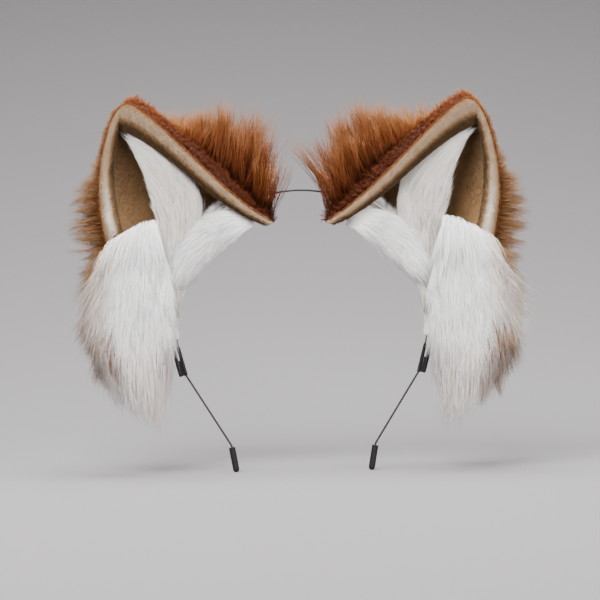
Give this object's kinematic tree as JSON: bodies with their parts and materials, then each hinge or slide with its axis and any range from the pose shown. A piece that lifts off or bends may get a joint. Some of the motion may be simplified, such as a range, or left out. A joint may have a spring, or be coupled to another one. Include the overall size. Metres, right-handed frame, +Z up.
{
  "type": "animal ears headband",
  "caption": "Thin spring-wire headband with a pair of upright furry animal ears that slide and rock on the hoop, sprung legs and rubber tips.",
  "frame": {"origin": "centre of the hoop's arc", "axes": "+Z up towards the crown of the hoop, -Y towards the front, +X to the right as seen from the front"},
  "size_m": [0.232, 0.0821, 0.2071],
  "materials": {
    "wire": "satin black coated spring wire",
    "clamp": "black shrink sleeve",
    "rubber_tip": "matte soft rubber",
    "felt": "felt",
    "thread": "cotton thread",
    "foam": "soft foam",
    "backing": "knitted backing cloth with short undercoat",
    "lining": "short brown plush",
    "armature": "soft iron wire",
    "rim_plush": "short tan plush",
    "edge_plush": "short curly plush",
    "crown_fur": "long orange-brown faux fur with pale tips",
    "side_fur": "tan-brown faux fur",
    "white_fur": "long white faux fur"
  },
  "bodies": {
    "headband": {"hoop_wire": "wire", "left_end_clamp": "clamp", "right_end_clamp": "clamp"},
    "left_leg": {"left_leg_wire": "wire", "left_rubber_tip": "rubber_tip"},
    "left_carrier": {"left_base_sleeve": "felt", "left_sleeve_stitches": "thread"},
    "left_ear": {"left_base_panel": "felt", "left_foam_core": "foam", "left_back_cover": "backing", "left_lining": "lining", "left_rim_wire": "armature", "left_rim_binding": "rim_plush", "left_edge_plush": "edge_plush", "left_crown_fur": "crown_fur", "left_side_fur": "side_fur", "left_inner_tuft": "white_fur", "left_brow_fur": "white_fur", "left_cheek_fur": "white_fur"},
    "right_leg": {"right_leg_wire": "wire", "right_rubber_tip": "rubber_tip"},
    "right_carrier": {"right_base_sleeve": "felt", "right_sleeve_stitches": "thread"},
    "right_ear": {"right_base_panel": "felt", "right_foam_core": "foam", "right_back_cover": "backing", "right_lining": "lining", "right_rim_wire": "armature", "right_rim_binding": "rim_plush", "right_edge_plush": "edge_plush", "right_crown_fur": "crown_fur", "right_side_fur": "side_fur", "right_inner_tuft": "white_fur", "right_brow_fur": "white_fur", "right_cheek_fur": "white_fur"}
  },
  "joints": [
    {"name": "left_leg_spring", "type": "hinge", "parent": "headband", "child": "left_leg", "pos_m": [-0.06412, 0, -0.03116], "axis": [0, 1, 0], "range_deg": [-4, 18], "stiffness_Nm_per_rad": 0.35},
    {"name": "left_ear_slide", "type": "hinge", "parent": "headband", "child": "left_carrier", "pos_m": [0, 0, 0], "axis": [0, -1, 0], "range_deg": [-4, 3.5]},
    {"name": "left_ear_rock", "type": "hinge", "parent": "left_carrier", "child": "left_ear", "pos_m": [-0.05734, 0, 0.04015], "axis": [-0.5736, 0, -0.8192], "range_deg": [-6, 8]},
    {"name": "right_leg_spring", "type": "hinge", "parent": "headband", "child": "right_leg", "pos_m": [0.06412, 0, -0.03116], "axis": [0, -1, 0], "range_deg": [-4, 18], "stiffness_Nm_per_rad": 0.35},
    {"name": "right_ear_slide", "type": "hinge", "parent": "headband", "child": "right_carrier", "pos_m": [0, 0, 0], "axis": [0, 1, 0], "range_deg": [-4, 3.5]},
    {"name": "right_ear_rock", "type": "hinge", "parent": "right_carrier", "child": "right_ear", "pos_m": [0.05734, 0, 0.04015], "axis": [-0.5736, 0, 0.8192], "range_deg": [-6, 8]}
  ]
}
